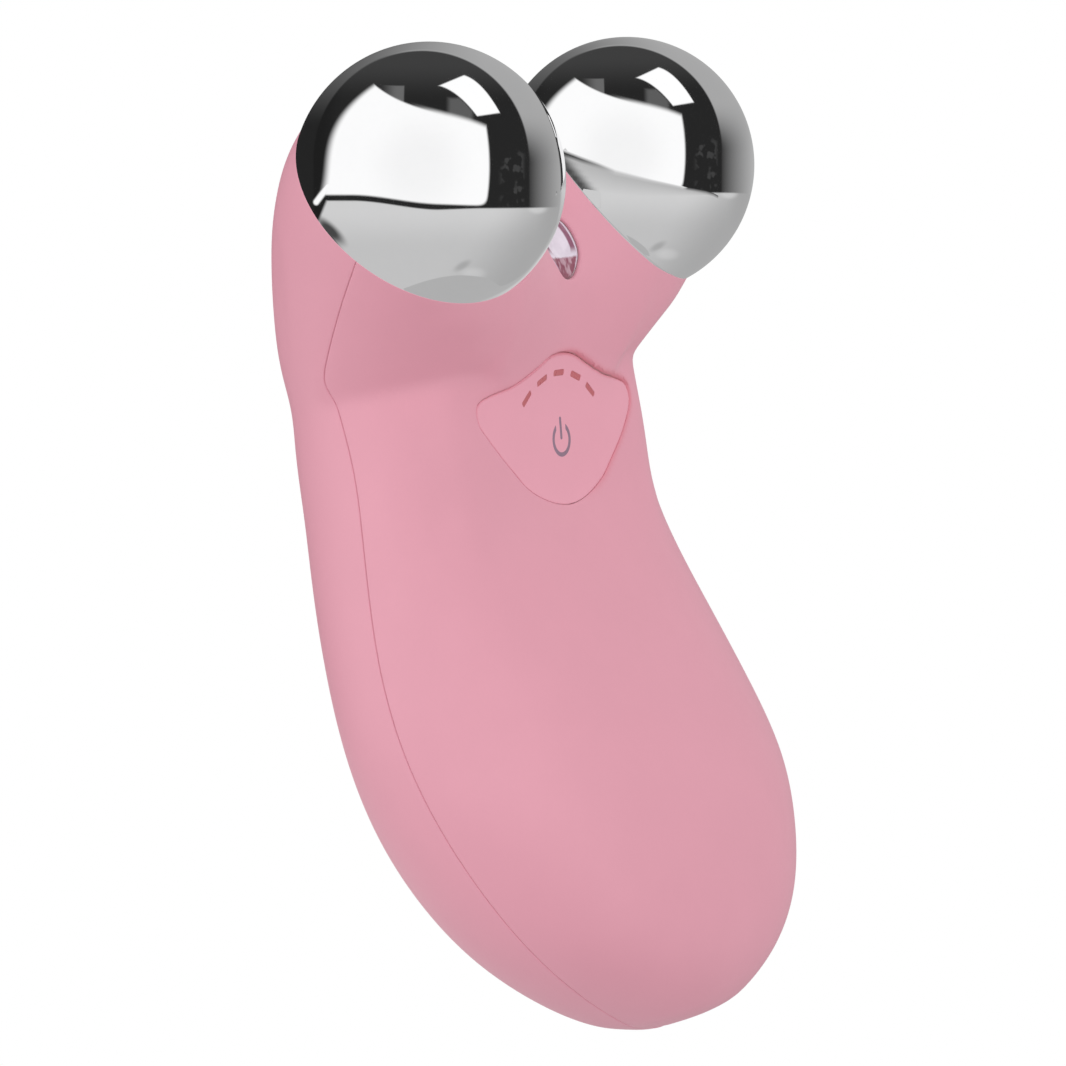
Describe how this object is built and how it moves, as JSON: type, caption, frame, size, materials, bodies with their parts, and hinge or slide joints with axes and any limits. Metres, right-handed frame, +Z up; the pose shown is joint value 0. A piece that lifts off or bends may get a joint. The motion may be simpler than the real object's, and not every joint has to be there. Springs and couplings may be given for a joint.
{
  "type": "facial toning device",
  "caption": "Hand-held facial toner: two chrome electrode balls on a curved pink casing, with a sprung power button, level lights and a round charging socket.",
  "frame": {"origin": "centre of the charging socket's mouth, at the tip of its centre pin, at the bottom of the casing", "axes": "+Z up along the long axis towards the balls, -Y towards the button side, +X to the right of someone facing the button, with X = 0 the mirror plane of the outside"},
  "size_m": [0.0814, 0.0529, 0.1283],
  "materials": {
    "casing_pink": "satin soft-touch lacquer over moulded plastic",
    "button_pink": "satin soft-touch lacquer over moulded plastic",
    "chrome_plating": "mirror-bright chrome plating",
    "seat_nylon": "moulded nylon",
    "contact_brass": "turned or pressed, bright",
    "wire_red": "smooth insulation",
    "indicator_rose": "translucent, unlit",
    "symbol_mauve": "second-shot inlay",
    "guide_clear": "clear acrylic",
    "led_cream": "clear resin over phosphor",
    "board_green": "solder resist",
    "fastener_steel": "zinc plated",
    "chip_black": "moulded epoxy or nylon",
    "plunger_ivory": "moulded nylon",
    "ferrite_grey": "sintered ferrite",
    "capacitor_can": "drawn can",
    "battery_foil": "laminated pouch foil",
    "foam_grey": "adhesive foam",
    "socket_black": "moulded nylon",
    "pin_nickel": "nickel plated",
    "lens_clear": "clear, polished",
    "reflector_white": "moulded white"
  },
  "bodies": {
    "casing": {"front_shell": "casing_pink", "back_shell": "casing_pink", "left_electrode_ball": "chrome_plating", "right_electrode_ball": "chrome_plating", "left_ball_seat": "seat_nylon", "right_ball_seat": "seat_nylon", "left_contact_screw": "contact_brass", "right_contact_screw": "contact_brass", "left_contact_washer": "contact_brass", "right_contact_washer": "contact_brass", "left_electrode_wire": "wire_red", "right_electrode_wire": "wire_red", "light_guide": "guide_clear", "indicator_leds": "led_cream", "main_board": "board_green", "board_screws": "fastener_steel", "tactile_switch": "chip_black", "microcontroller": "chip_black", "boost_inductor": "ferrite_grey", "output_capacitors": "capacitor_can", "buzzer": "chip_black", "battery": "battery_foil", "battery_pad": "foam_grey", "battery_plug": "plunger_ivory", "battery_leads": "wire_red", "charging_socket": "socket_black", "socket_pin": "pin_nickel", "socket_spring": "contact_brass", "socket_leads": "wire_red", "lens_window": "lens_clear", "lens_reflector": "reflector_white", "lens_led": "led_cream", "lens_board": "board_green", "lens_leads": "wire_red"},
    "button": {"power_button": "button_pink", "indicator_windows": "indicator_rose", "power_symbol": "symbol_mauve"},
    "plunger": {"switch_plunger": "plunger_ivory"}
  },
  "joints": [
    {"name": "button_press", "type": "slide", "parent": "casing", "child": "button", "axis": [0, 1, 0], "range_m": [0, 0.0003], "stiffness_N_per_m": 2500},
    {"name": "plunger_travel", "type": "slide", "parent": "casing", "child": "plunger", "axis": [0, 1, 0], "range_m": [0, 0.0003]}
  ],
  "couplings": [
    {"joint": "plunger_travel", "follows": "button_press", "ratio": 1}
  ]
}
